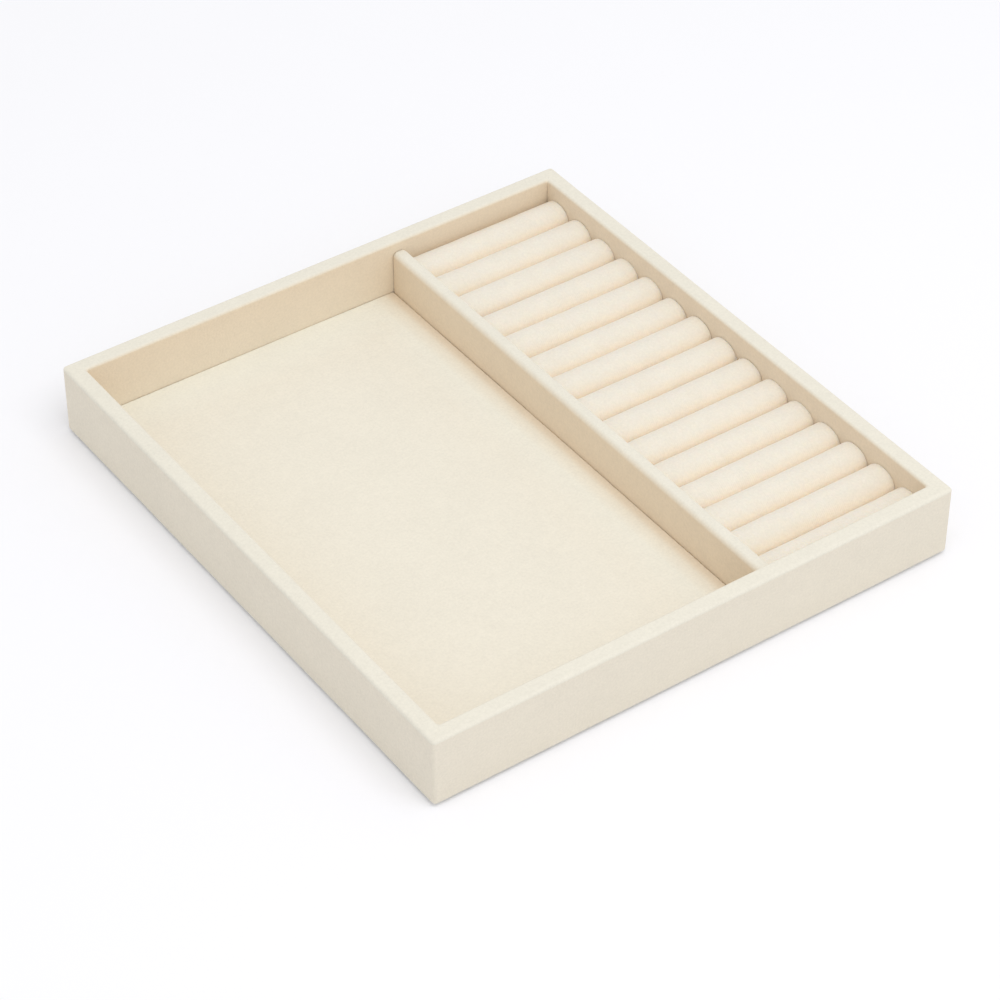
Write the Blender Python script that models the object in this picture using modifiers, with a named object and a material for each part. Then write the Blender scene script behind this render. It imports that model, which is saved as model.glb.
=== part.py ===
"""Ring tray insert.

A shallow fibreboard tray wrapped in suede cloth. A low divider parts an open
compartment, on the left, from a bank of foam ring rolls that lie side by side.

Lengths are in metres and +Z is up. The origin is the middle of the footprint, on
the surface that the tray stands on. The tray's width lies along X and its depth
along Y, with the front at -Y. Glued faces keep a hair's breadth between them.
"""
import math

import bmesh
import bpy
from mathutils import Matrix, Vector

# Finished tray
TRAY_WIDTH = 0.280
TRAY_DEPTH = 0.305
TRAY_HEIGHT = 0.038
WALL_THICKNESS = 0.0083

# Cloth, glue and fits
SUEDE_THICKNESS = 0.0007
GLUE_GAP = 0.0003
SEAM_GAP = 0.0003

# Underside
FELT_THICKNESS = 0.0015
FELT_INSET = 0.0030
FELT_CORNER_RADIUS = 0.0040
TURN_IN_WIDTH = 0.0120
BASE_THICKNESS = 0.0032

# Arrises sanded off the boards, over which the cloth bends
WALL_ARRIS = 0.0002
DIVIDER_ARRIS = 0.0015

# Open compartment
MAIN_WIDTH = 0.1706
FLOOR_CARD_THICKNESS = 0.0020

# Divider
DIVIDER_THICKNESS = 0.0067
DIVIDER_DROP = 0.0055

# Ring rolls
ROLL_COUNT = 15
RING_BOARD_THICKNESS = 0.0038
ROLL_SPACING = 0.0003
ROLL_END_LENGTH = 0.0015
ROLL_END_DROP = 0.0030
SLEEVE_THICKNESS = 0.0007
FOAM_GAP = 0.0005

# Heights of the rolls that stand proud of the rest, by number from the back: the
# first leans on the back wall and the last but one is squeezed up by its neighbours.
ROLL_HEIGHT_SHARES = {1: 1.03, 14: 1.07}

# Fineness of the round forms
EDGE_SEGMENTS = 3
CORNER_SEGMENTS = 4
SLEEVE_STEPS = 16
SLEEVE_OPEN_STEPS = 1
SLEEVE_END_SEGMENTS = 3
FOAM_STEPS = 12
FOAM_END_SEGMENTS = 2
MERGE_DISTANCE = 0.00001

# Colours, linear
SUEDE_COLOUR = (0.82, 0.76, 0.65)
VELVET_COLOUR = (0.86, 0.77, 0.65)
FELT_COLOUR = (0.62, 0.57, 0.48)
FIBREBOARD_COLOUR = (0.42, 0.29, 0.17)
CARD_COLOUR = (0.48, 0.46, 0.42)
FOAM_COLOUR = (0.88, 0.87, 0.82)

SUEDE_ROUGHNESS = 0.95
VELVET_ROUGHNESS = 0.90
FELT_ROUGHNESS = 1.00
FIBREBOARD_ROUGHNESS = 0.80
CARD_ROUGHNESS = 0.85
FOAM_ROUGHNESS = 0.95

COLLECTION_NAME = "ring_tray_insert"
EDGE_WEIGHT = "bevel_weight_edge"

# Levels, from the surface upwards
SKIN = SUEDE_THICKNESS + GLUE_GAP
TURN_IN_BOTTOM = FELT_THICKNESS + GLUE_GAP
BASE_BOTTOM = TURN_IN_BOTTOM + SKIN
SEAT = BASE_BOTTOM + BASE_THICKNESS + GLUE_GAP
WALL_BOARD_TOP = TRAY_HEIGHT - SKIN
DIVIDER_TOP = TRAY_HEIGHT - DIVIDER_DROP

# Places across the tray
INNER_X = TRAY_WIDTH / 2 - WALL_THICKNESS
INNER_Y = TRAY_DEPTH / 2 - WALL_THICKNESS
BOARD_THICKNESS = WALL_THICKNESS - 2 * SKIN
DIVIDER_LEFT = -INNER_X + MAIN_WIDTH
DIVIDER_RIGHT = DIVIDER_LEFT + DIVIDER_THICKNESS

# Ring rolls, worked out from the room that the walls leave
ROLL_PITCH = (2 * INNER_Y - ROLL_SPACING) / ROLL_COUNT
ROLL_HALF_WIDTH = (ROLL_PITCH - ROLL_SPACING) / 2
ROLL_LENGTH = INNER_X - DIVIDER_RIGHT - 2 * SEAM_GAP
ROLL_END_FLAT_RADIUS = ROLL_HALF_WIDTH - ROLL_END_DROP
SLEEVE_STEP_ANGLE = 2 * math.pi / SLEEVE_STEPS
SLEEVE_HALF_OPENING = SLEEVE_OPEN_STEPS * SLEEVE_STEP_ANGLE / 2
SLEEVE_RADIUS = ROLL_HALF_WIDTH / math.cos(SLEEVE_STEP_ANGLE / 2)


def clear_scene():
    """Remove whatever objects the open file holds."""
    for item in list(bpy.data.objects):
        bpy.data.objects.remove(item, do_unlink=True)


def make_collection():
    """Make the tray's collection and link it to the scene."""
    collection = bpy.data.collections.new(COLLECTION_NAME)
    bpy.context.scene.collection.children.link(collection)
    return collection


def make_material(name, colour, roughness):
    """A dry, non-metallic finish."""
    material = bpy.data.materials.new(name)
    material.use_nodes = True
    shader = material.node_tree.nodes["Principled BSDF"]
    shader.inputs["Base Color"].default_value = (*colour, 1.0)
    shader.inputs["Roughness"].default_value = roughness
    shader.inputs["Metallic"].default_value = 0.0
    material.diffuse_color = (*colour, 1.0)
    return material


def suede_cloth():
    """Cream suede cloth of the wraps and the floor lining."""
    return make_material("suede_cloth", SUEDE_COLOUR, SUEDE_ROUGHNESS)


def velvet_cloth():
    """Warmer knitted velvet of the ring rolls' sleeves."""
    return make_material("velvet_cloth", VELVET_COLOUR, VELVET_ROUGHNESS)


def wool_felt():
    """Beige felt of the underside."""
    return make_material("wool_felt", FELT_COLOUR, FELT_ROUGHNESS)


def fibreboard():
    """Brown medium-density fibreboard of the base, walls and divider."""
    return make_material("fibreboard", FIBREBOARD_COLOUR, FIBREBOARD_ROUGHNESS)


def grey_card():
    """Grey card under the floor lining."""
    return make_material("grey_card", CARD_COLOUR, CARD_ROUGHNESS)


def foam():
    """Off-white foam of the ring rolls and of the board that carries them."""
    return make_material("foam", FOAM_COLOUR, FOAM_ROUGHNESS)


def make_carrier(collection, name, location, parent=None):
    """An empty that carries a sub-assembly at its seat."""
    carrier = bpy.data.objects.new(name, None)
    carrier.location = location
    carrier.parent = parent
    collection.objects.link(carrier)
    return carrier


def place(carrier, name, mesh, material, location=(0, 0, 0)):
    """Turn a mesh into a named piece on its carrier."""
    mesh.name = name
    mesh.materials.clear()
    mesh.materials.append(material)
    piece = bpy.data.objects.new(name, mesh)
    piece.parent = carrier
    piece.location = location
    carrier.users_collection[0].objects.link(piece)
    return piece


def block_form(size):
    """A rectangular block about its own centre, as an editable form."""
    form = bmesh.new()
    form.edges.layers.float.new(EDGE_WEIGHT)
    bmesh.ops.create_cube(form, size=1)
    bmesh.ops.scale(form, vec=Vector(size), verts=form.verts)
    return form


def finish_form(form):
    """Write an editable form to a mesh and free it."""
    mesh = bpy.data.meshes.new("form")
    form.to_mesh(mesh)
    form.free()
    return mesh


def faces_towards(form, direction):
    """The form's faces whose normals point along a direction."""
    form.normal_update()
    aim = Vector(direction)
    return [face for face in form.faces if face.normal.dot(aim) > math.cos(math.pi / 4)]


def mark_edges(form, chosen):
    """Give the chosen edges a full bevel weight."""
    weight = form.edges.layers.float[EDGE_WEIGHT]
    for edge in chosen:
        edge[weight] = 1.0


def soften(piece, radius, segments, marked_only=False):
    """Round a piece's sharp edges, or only those that are marked."""
    bevel = piece.modifiers.new("soft_edges", "BEVEL")
    bevel.width = radius
    bevel.segments = segments
    bevel.limit_method = "WEIGHT" if marked_only else "ANGLE"
    bevel.use_clamp_overlap = True


def give_thickness(piece, thickness):
    """Grow an open surface inwards into cloth of an even thickness."""
    cloth = piece.modifiers.new("cloth", "SOLIDIFY")
    cloth.thickness = thickness
    cloth.offset = -1.0
    cloth.use_even_offset = True
    cloth.use_quality_normals = True


def add_board(carrier, name, low, high, material, arris=0.0):
    """A board between two corners, given in its carrier's space."""
    low = Vector(low)
    high = Vector(high)
    mesh = finish_form(block_form(high - low))
    board = place(carrier, name, mesh, material, (low + high) / 2)
    if arris > 0:
        soften(board, arris, segments=1)
    return board


def convex_edges(form):
    """Edges between two faces that stand out towards the air."""
    form.normal_update()
    shared = [edge for edge in form.edges if edge.is_manifold]
    return [edge for edge in shared if edge.calc_face_angle_signed() > math.pi / 4]


def add_underside_felt(shell, material):
    """Felt pad that the tray stands on."""
    size = (TRAY_WIDTH - 2 * FELT_INSET, TRAY_DEPTH - 2 * FELT_INSET, FELT_THICKNESS)
    form = block_form(size)
    upright = [edge for edge in form.edges if edge.verts[0].co.z * edge.verts[1].co.z < 0]
    mark_edges(form, upright)
    felt = place(shell, "underside_felt", finish_form(form), material, (0, 0, FELT_THICKNESS / 2))
    soften(felt, FELT_CORNER_RADIUS, CORNER_SEGMENTS, marked_only=True)


def add_base_board(shell, material):
    """Fibreboard base, the full size inside the wrap."""
    reach = Vector((TRAY_WIDTH / 2 - SKIN, TRAY_DEPTH / 2 - SKIN, 0))
    low = Vector((0, 0, BASE_BOTTOM)) - reach
    high = Vector((0, 0, BASE_BOTTOM + BASE_THICKNESS)) + reach
    add_board(shell, "base_board", low, high, material, WALL_ARRIS)


def add_wall_boards(shell, material):
    """Four boards glued to the base: front and back run full width, sides between."""
    out_x = TRAY_WIDTH / 2 - SKIN
    out_y = TRAY_DEPTH / 2 - SKIN
    in_x = out_x - BOARD_THICKNESS
    in_y = out_y - BOARD_THICKNESS
    side_y = in_y - GLUE_GAP
    spans = {
        "front_wall_board": ((-out_x, -out_y), (out_x, -in_y)),
        "back_wall_board": ((-out_x, in_y), (out_x, out_y)),
        "left_wall_board": ((-out_x, -side_y), (-in_x, side_y)),
        "right_wall_board": ((in_x, -side_y), (out_x, side_y)),
    }
    for name, (low, high) in spans.items():
        add_board(shell, name, (*low, SEAT), (*high, WALL_BOARD_TOP), material, WALL_ARRIS)


def add_outer_wrap(shell, material):
    """Cloth round the outside, over the rim, down inside and turned in beneath."""
    height = TRAY_HEIGHT - TURN_IN_BOTTOM
    form = block_form((TRAY_WIDTH, TRAY_DEPTH, height))
    top = faces_towards(form, (0, 0, 1))
    bottom = faces_towards(form, (0, 0, -1))
    bmesh.ops.inset_region(form, faces=top, thickness=WALL_THICKNESS, use_even_offset=True)
    bmesh.ops.inset_region(form, faces=bottom, thickness=TURN_IN_WIDTH, use_even_offset=True)
    floor = bmesh.ops.extrude_discrete_faces(form, faces=top)["faces"]
    inside_depth = TRAY_HEIGHT - SEAT
    bmesh.ops.translate(form, vec=(0, 0, -inside_depth), verts=floor[0].verts)
    bmesh.ops.delete(form, geom=floor + bottom, context="FACES")
    mark_edges(form, convex_edges(form))
    middle = TURN_IN_BOTTOM + height / 2
    wrap = place(shell, "outer_wrap", finish_form(form), material, (0, 0, middle))
    soften(wrap, WALL_ARRIS + SKIN, EDGE_SEGMENTS, marked_only=True)
    give_thickness(wrap, SUEDE_THICKNESS)


def add_floor_card(floor, size_x, size_y, material):
    """Grey card that stiffens the open compartment's floor."""
    half = Vector((size_x / 2 - SKIN, size_y / 2 - SKIN, 0))
    top = Vector((0, 0, FLOOR_CARD_THICKNESS))
    add_board(floor, "floor_card", -half, half + top, material)


def add_floor_lining(floor, size_x, size_y, material):
    """Suede over the card, turned down round its four edges."""
    height = FLOOR_CARD_THICKNESS + SKIN
    form = block_form((size_x, size_y, height))
    bmesh.ops.delete(form, geom=faces_towards(form, (0, 0, -1)), context="FACES")
    mark_edges(form, convex_edges(form))
    lining = place(floor, "floor_lining", finish_form(form), material, (0, 0, height / 2))
    soften(lining, SKIN, EDGE_SEGMENTS, marked_only=True)
    give_thickness(lining, SUEDE_THICKNESS)


def add_divider_board(divider, height, length, material):
    """Low fibreboard rail, its two long top edges rounded over."""
    board_height = height - SKIN
    form = block_form((DIVIDER_THICKNESS - 2 * SKIN, length, board_height))
    top = faces_towards(form, (0, 0, 1))[0]
    mark_edges(form, [edge for edge in top.edges if edge.calc_length() > DIVIDER_THICKNESS])
    board = place(divider, "divider_board", finish_form(form), material, (0, 0, board_height / 2))
    soften(board, DIVIDER_ARRIS, EDGE_SEGMENTS, marked_only=True)


def add_divider_wrap(divider, height, length, material):
    """Suede strip folded over the rail, open at both ends and below."""
    form = block_form((DIVIDER_THICKNESS, length, height))
    directions = ((0, 0, -1), (0, 1, 0), (0, -1, 0))
    open_sides = [face for way in directions for face in faces_towards(form, way)]
    bmesh.ops.delete(form, geom=open_sides, context="FACES")
    mark_edges(form, convex_edges(form))
    wrap = place(divider, "divider_wrap", finish_form(form), material, (0, 0, height / 2))
    soften(wrap, DIVIDER_ARRIS + SKIN, EDGE_SEGMENTS, marked_only=True)
    give_thickness(wrap, SUEDE_THICKNESS)


def roll_outline(length, radius, end_length, flat_radius, segments):
    """Half the outline of a roll with rounded ends, as (radius, height) points.

    The points run down the outer side, from the axis at the top to the axis at the
    bottom. Each end is a small flat with a quarter of an ellipse round it.
    """
    arc = []
    for step in range(segments + 1):
        angle = math.pi / 2 * step / segments
        across = flat_radius + (radius - flat_radius) * math.sin(angle)
        along = length / 2 - end_length * (1 - math.cos(angle))
        arc.append((across, along))
    upper = [(0, length / 2)] + arc
    lower = [(across, -along) for across, along in reversed(upper)]
    return upper + lower


def turned_mesh(outline, steps, open_steps, height_share):
    """Turn an outline into a roll along X, with a wedge left out at the bottom.

    The roll's height is its share of a round roll's.
    """
    step_angle = 2 * math.pi / steps
    start = open_steps * step_angle / 2
    form = bmesh.new()
    dots = [form.verts.new((across, 0, along)) for across, along in outline]
    for upper, lower in zip(dots, dots[1:]):
        form.edges.new((upper, lower))
    bmesh.ops.rotate(form, matrix=Matrix.Rotation(start, 3, "Z"), verts=form.verts)
    profile = bpy.data.objects.new("profile", finish_form(form))
    bpy.context.scene.collection.objects.link(profile)
    turn = profile.modifiers.new("turn", "SCREW")
    turn.axis = "Z"
    turn.angle = (steps - open_steps) * step_angle
    turn.steps = steps - open_steps
    turn.render_steps = turn.steps
    turn.use_merge_vertices = True
    turn.merge_threshold = MERGE_DISTANCE
    evaluated = profile.evaluated_get(bpy.context.evaluated_depsgraph_get())
    mesh = bpy.data.meshes.new_from_object(evaluated)
    bpy.data.objects.remove(profile, do_unlink=True)
    mesh.transform(Matrix.Rotation(math.pi / 2, 4, "Y"))
    mesh.transform(Matrix.Diagonal((1, 1, height_share, 1)))
    mesh.shade_smooth()
    mesh.set_sharp_from_angle(angle=math.pi / 4)
    return mesh


def add_roll_sleeve(bank, number, location, height_share, material):
    """Velvet sleeve of one roll, its two edges glued down along the bottom."""
    outline = roll_outline(
        ROLL_LENGTH, SLEEVE_RADIUS, ROLL_END_LENGTH, ROLL_END_FLAT_RADIUS, SLEEVE_END_SEGMENTS
    )
    mesh = turned_mesh(outline, SLEEVE_STEPS, SLEEVE_OPEN_STEPS, height_share)
    sleeve = place(bank, f"ring_roll_sleeve_{number:02d}", mesh, material, location)
    give_thickness(sleeve, SLEEVE_THICKNESS)


def add_roll_foam(bank, number, location, height_share, material):
    """Foam rod that fills one sleeve."""
    inset = SLEEVE_THICKNESS + FOAM_GAP
    outline = roll_outline(
        ROLL_LENGTH - 2 * inset,
        ROLL_HALF_WIDTH - inset,
        ROLL_END_LENGTH - inset,
        ROLL_END_FLAT_RADIUS,
        FOAM_END_SEGMENTS,
    )
    mesh = turned_mesh(outline, FOAM_STEPS, 0, height_share)
    place(bank, f"ring_roll_foam_{number:02d}", mesh, material, location)


def add_ring_bank_board(bank, width, material):
    """Foam board that lifts the rolls to their height."""
    half = Vector((width / 2, INNER_Y - SEAM_GAP, 0))
    top = Vector((0, 0, RING_BOARD_THICKNESS))
    add_board(bank, "ring_bank_board", -half, half + top, material)


def build_shell(collection, origin, suede, board, felt):
    """Felt, base, walls and the cloth round them."""
    shell = make_carrier(collection, "shell", (0, 0, 0), origin)
    add_underside_felt(shell, felt)
    add_base_board(shell, board)
    add_wall_boards(shell, board)
    add_outer_wrap(shell, suede)


def build_floor(collection, origin, suede, card):
    """Covered card that lies in the open compartment."""
    middle = (DIVIDER_LEFT - INNER_X) / 2
    size_x = MAIN_WIDTH - 2 * SEAM_GAP
    size_y = 2 * (INNER_Y - SEAM_GAP)
    floor = make_carrier(collection, "main_floor", (middle, 0, SEAT), origin)
    add_floor_card(floor, size_x, size_y, card)
    add_floor_lining(floor, size_x, size_y, suede)


def build_divider(collection, origin, suede, board):
    """Covered rail that stands between the two compartments."""
    middle = (DIVIDER_LEFT + DIVIDER_RIGHT) / 2
    height = DIVIDER_TOP - SEAT
    length = 2 * (INNER_Y - SEAM_GAP)
    divider = make_carrier(collection, "divider", (middle, 0, SEAT), origin)
    add_divider_board(divider, height, length, board)
    add_divider_wrap(divider, height, length, suede)


def build_ring_bank(collection, origin, velvet, filling):
    """Board and rolls that fill the right-hand compartment, back to front."""
    middle = (DIVIDER_RIGHT + INNER_X) / 2
    bank = make_carrier(collection, "ring_bank", (middle, 0, SEAT), origin)
    add_ring_bank_board(bank, ROLL_LENGTH, filling)
    seat = RING_BOARD_THICKNESS + GLUE_GAP
    for number in range(1, ROLL_COUNT + 1):
        share = ROLL_HEIGHT_SHARES.get(number, 1.0)
        y = INNER_Y - ROLL_SPACING - ROLL_HALF_WIDTH - (number - 1) * ROLL_PITCH
        z = seat + share * SLEEVE_RADIUS * math.cos(SLEEVE_HALF_OPENING)
        add_roll_foam(bank, number, (0, y, z), share, filling)
        add_roll_sleeve(bank, number, (0, y, z), share, velvet)


def main():
    """Build the tray from its sub-assemblies."""
    clear_scene()
    collection = make_collection()
    origin = make_carrier(collection, "tray_origin", (0, 0, 0))
    suede = suede_cloth()
    board = fibreboard()
    filling = foam()
    build_shell(collection, origin, suede, board, wool_felt())
    build_floor(collection, origin, suede, grey_card())
    build_divider(collection, origin, suede, board)
    build_ring_bank(collection, origin, velvet_cloth(), filling)


main()
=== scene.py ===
"""Looks of the ring tray insert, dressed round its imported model.

The tray is a shallow fibreboard box covered in cream microsuede. A low covered
divider parts an open compartment from a bank of fifteen velvet ring rolls.

Lengths are in metres, in the part's own frame: +Z up and the front at -Y.
"""
import logging
import math
from dataclasses import dataclass, field
from enum import Enum

import bmesh
import bpy
import numpy as np
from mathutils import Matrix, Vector, noise


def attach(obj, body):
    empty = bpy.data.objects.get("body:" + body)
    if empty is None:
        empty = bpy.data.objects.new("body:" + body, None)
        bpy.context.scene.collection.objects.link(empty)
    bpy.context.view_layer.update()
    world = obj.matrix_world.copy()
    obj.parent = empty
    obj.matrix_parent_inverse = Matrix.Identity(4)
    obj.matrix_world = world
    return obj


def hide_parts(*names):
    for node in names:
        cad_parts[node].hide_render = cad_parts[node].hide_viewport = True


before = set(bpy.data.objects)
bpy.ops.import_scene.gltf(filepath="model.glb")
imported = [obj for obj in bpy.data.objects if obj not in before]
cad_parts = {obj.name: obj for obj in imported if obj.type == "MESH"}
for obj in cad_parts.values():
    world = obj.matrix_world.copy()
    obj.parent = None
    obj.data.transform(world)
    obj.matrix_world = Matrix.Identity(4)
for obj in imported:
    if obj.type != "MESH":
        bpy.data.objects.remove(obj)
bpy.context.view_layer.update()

logging.basicConfig(level=logging.INFO, format="%(message)s")
LOG = logging.getLogger("ring_tray_insert")

Tree = bpy.types.NodeTree
Socket = bpy.types.NodeSocket
Material = bpy.types.Material
Piece = bpy.types.Object
Triple = tuple[float, float, float]

ROOT_BODY = "root"
# Numbers painted on cloth: the share of painted shade on the suede, and the share of painted warm
# bounce light on the velvet, by how deep in a groove a point is.
PAINTED_SHADE = "painted_shade"
PAINTED_BOUNCE = "sunk"
# A difference too small to count.
TINY = 1e-6
SUEDE_THICKNESS = 0.0007


class Slot(Enum):
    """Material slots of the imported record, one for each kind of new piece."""

    SUEDE = "suede_cloth"
    VELVET = "velvet_cloth"
    FELT = "wool_felt"
    FOAM = "foam"


class Held(Enum):
    """How a sheet of cloth is held on the board that it covers."""

    STRETCHED = "stretched"
    FOLDED = "folded"
    LAID = "laid"


# Node trees


def linear(code: str) -> tuple[float, float, float, float]:
    """Turn an sRGB hex colour into linear red, green, blue and alpha.

    Args:
        code: a colour such as "#EBE4D2".

    Returns:
        The same colour as Blender's sockets take it.
    """
    values = (int(code[place:place + 2], 16) / 255 for place in (1, 3, 5))
    bent = [
        value / 12.92 if value <= 0.04045 else ((value + 0.055) / 1.055) ** 2.4
        for value in values
    ]
    return (*bent, 1.0)


def add_node(tree: Tree, kind: str, given: dict | None = None) -> bpy.types.Node:
    """Add one node to a tree, with its settings and the links into it.

    Args:
        tree: the material's, world's or geometry's node tree.
        kind: Blender's name of the node type.
        given: what each property or input gets, by its name or number: a value, or
            a socket to link from.

    Returns:
        The new node.
    """
    node = tree.nodes.new(kind)
    for key, value in (given or {}).items():
        if isinstance(value, Socket):
            tree.links.new(value, node.inputs[key])
        elif isinstance(key, str) and key in node.bl_rna.properties:
            setattr(node, key, value)
        else:
            node.inputs[key].default_value = value
    return node


def blank_material(name: str) -> tuple[Material, Tree]:
    """Make a material with an empty node tree.

    Args:
        name: the material's name.

    Returns:
        The material and its tree.
    """
    material = bpy.data.materials.new(name)
    material.use_nodes = True
    material.node_tree.nodes.clear()
    return material, material.node_tree


@dataclass(frozen=True)
class Grain:
    """One size of irregularity in a surface, as a noise pattern.

    Attributes:
        size: distance between neighbouring specks.
        weight: share that it has in the whole pattern.
        detail: finer layers on top of the first.
        finer: weight of each finer layer against the one before.
    """

    size: float
    weight: float
    detail: float = 2.0
    finer: float = 0.6


def grain_pattern(tree: Tree, grains: tuple[Grain, ...]) -> Socket:
    """Add noise patterns of several sizes into one, on the object's own coordinates.

    Args:
        tree: the material's node tree.
        grains: the sizes and their weights, which add up to 1.

    Returns:
        A socket from 0 to 1, one half on average.
    """
    place = add_node(tree, "ShaderNodeTexCoord").outputs["Object"]
    total = 0.0
    for grain in grains:
        given = {"Scale": 1 / grain.size, "Detail": grain.detail, "Roughness": grain.finer}
        speck = add_node(tree, "ShaderNodeTexNoise", given | {"Vector": place}).outputs["Fac"]
        parts = {"operation": "MULTIPLY_ADD", 0: speck, 1: grain.weight, 2: total}
        total = add_node(tree, "ShaderNodeMath", parts).outputs[0]
    return total


# Finishes

# The middle of a noise pattern, which a Map Range node stretches over a range.
MIDDLE = {"From Min": 0.32, "From Max": 0.68, "clamp": False}


@dataclass(frozen=True)
class Finish:
    """A matt surface of two mixed colours, with specks that roughen and raise it.

    Attributes:
        name: the material's name.
        colour: the first colour.
        other: the colour that is mixed into it.
        grains: the sizes of its specks.
        relief: how high the specks stand.
        rough: roughness of the lowest and the highest specks.
        sheen: how strongly its fibres bloom at grazing angles.
        sheen_rough: how wide that bloom is.
        sheen_tint: the bloom's colour.
        specular: how strongly its surface reflects.
        glow: share of the light that comes out again beside where it fell.
        glow_depth: how far that light travels.
        glow_reach: how far its red, green and blue travel, as shares of that.
        contrast: how much darker or lighter than its ground a speck is.
        bump: share of the relief that turns the light.
        painted: the point attribute that mixes the colours, or else the specks do.
    """

    name: str
    colour: str
    other: str
    grains: tuple[Grain, ...]
    relief: float
    rough: tuple[float, float] = (0.80, 0.95)
    sheen: float = 0.0
    sheen_rough: float = 0.50
    sheen_tint: str = "#FFFFFF"
    specular: float = 0.30
    glow: float = 0.0
    glow_depth: float = 0.0010
    glow_reach: Triple = (1.0, 0.8, 0.6)
    contrast: float = 0.0
    bump: float = 0.60
    painted: str = ""

    def height(self, tree: Tree, pattern: Socket) -> Socket:
        """A socket with the share of the relief that each point reaches."""
        return pattern

    def material(self) -> Material:
        """Build the material.

        Returns:
            The finished material.
        """
        material, tree = blank_material(self.name)
        pattern = grain_pattern(tree, self.grains)
        spans = {"depth": (1 - self.contrast, 1 + self.contrast), "rough": self.rough}
        if not self.painted:
            spans["share"] = (0.0, 1.0)
        found = {}
        for name, (lowest, highest) in spans.items():
            given = MIDDLE | {"Value": pattern, "To Min": lowest, "To Max": highest}
            found[name] = add_node(tree, "ShaderNodeMapRange", given).outputs[0]
        if self.painted:
            painted = add_node(tree, "ShaderNodeAttribute", {"attribute_name": self.painted})
            found["share"] = painted.outputs["Fac"]
        mixed = {"data_type": "RGBA", 0: found["share"]}
        mixed |= {6: linear(self.colour), 7: linear(self.other)}
        tone = add_node(tree, "ShaderNodeMix", mixed).outputs[2]
        scaled = {"operation": "SCALE", 0: tone, "Scale": found["depth"]}
        raised = {"Strength": self.bump, "Distance": self.relief}
        raised["Height"] = self.height(tree, pattern)
        shader = add_node(
            tree,
            "ShaderNodeBsdfPrincipled",
            {
                "Base Color": add_node(tree, "ShaderNodeVectorMath", scaled).outputs[0],
                "Roughness": found["rough"],
                "Normal": add_node(tree, "ShaderNodeBump", raised).outputs[0],
                "Specular IOR Level": self.specular,
                "Subsurface Weight": self.glow,
                "Subsurface Radius": self.glow_reach,
                "Subsurface Scale": self.glow_depth,
                "Sheen Weight": self.sheen,
                "Sheen Roughness": self.sheen_rough,
                "Sheen Tint": linear(self.sheen_tint),
            },
        )
        add_node(tree, "ShaderNodeOutputMaterial", {0: shader.outputs[0]})
        return material


@dataclass(frozen=True)
class Microsuede(Finish):
    """Microsuede: a polyester knit whose face was sanded to a short, dense nap.

    The eye gets a matt, powdery cream with faint cloudy patches where the nap lies
    another way, and a pale bloom at grazing angles. A warmer, darker painted shade
    is mixed in where shade falls: on the inner faces, and a little on the outer sides.
    """

    colour: str = "#EBE6D8"
    # The other colour is painted shade: a warmer, darker tone mixed in on the inner faces and a
    # little on the outer sides.
    other: str = "#E7D5BC"
    # Real nap clumps are about 0.3 mm. The finest size is drawn coarser, so that it
    # still shows at the photograph's scale of half a millimetre to a pixel.
    grains: tuple[Grain, ...] = (
        Grain(0.0300, 0.15, 1.0),
        Grain(0.0060, 0.20),
        Grain(0.0012, 0.65),
    )
    relief: float = 0.00028
    rough: tuple[float, float] = (0.98, 0.86)
    sheen: float = 0.12
    sheen_rough: float = 0.45
    sheen_tint: str = "#FFFCF5"
    specular: float = 0.15
    contrast: float = 0.045
    bump: float = 0.50
    painted: str = PAINTED_SHADE


@dataclass(frozen=True)
class KnittedVelvet(Finish):
    """Knitted velvet: a cut pile on a fine polyester jersey.

    The eye gets a soft, slightly pink cream with a bloom where the surface turns
    away, and very fine wales that run round each roll. Towards the grooves a warmer,
    redder painted bounce light is mixed in, which makes up for the shade there.
    """

    colour: str = "#EEE6D8"
    # The other colour is painted bounce light: warmer and a little brighter, mixed in towards the
    # grooves where shade falls.
    other: str = "#F5E8D6"
    grains: tuple[Grain, ...] = (Grain(0.0080, 0.30), Grain(0.0011, 0.70))
    relief: float = 0.00012
    rough: tuple[float, float] = (0.95, 0.82)
    sheen: float = 0.45
    sheen_rough: float = 0.40
    sheen_tint: str = "#FFF6EC"
    specular: float = 0.15
    # Light sinks between the pile's fibres and comes out warmer nearby.
    glow: float = 0.40
    contrast: float = 0.040
    bump: float = 0.50
    painted: str = PAINTED_BOUNCE
    # Wales are about 0.5 mm apart on such a jersey and are drawn 1 mm apart to show.
    wale: float = 0.0010
    wale_height: float = 0.50
    waver: float = 1.5

    def height(self, tree: Tree, pattern: Socket) -> Socket:
        """Stand a low rib for each wale on the specks.

        Args:
            tree: the material's node tree.
            pattern: the specks.

        Returns:
            A socket with the height.
        """
        # A wave's bands are 2 pi / 20 of a unit apart at a scale of 1.
        wave = {"Scale": math.pi / 10 / self.wale, "Distortion": self.waver, "Detail": 1.0}
        place = add_node(tree, "ShaderNodeTexCoord").outputs["Object"]
        ribs = add_node(tree, "ShaderNodeTexWave", wave | {"Vector": place}).outputs["Fac"]
        parts = {"operation": "MULTIPLY_ADD", 0: ribs, 1: self.wale_height, 2: pattern}
        return add_node(tree, "ShaderNodeMath", parts).outputs[0]


# Medium-density fibreboard, pressed and sawn: tan with short brown fibres.
FIBREBOARD = Finish(
    "pressed_fibreboard", "#8A6A44", "#B49468",
    (Grain(0.0060, 0.4), Grain(0.0009, 0.6, 4.0)), relief=0.00005,
)
# Greyboard, calendered from recycled pulp: flat grey with pale and dark flecks.
GREYBOARD = Finish(
    "calendered_greyboard", "#938C80", "#B8B2A6",
    (Grain(0.0100, 0.3), Grain(0.0012, 0.7, 4.0)), relief=0.00003,
)
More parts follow.
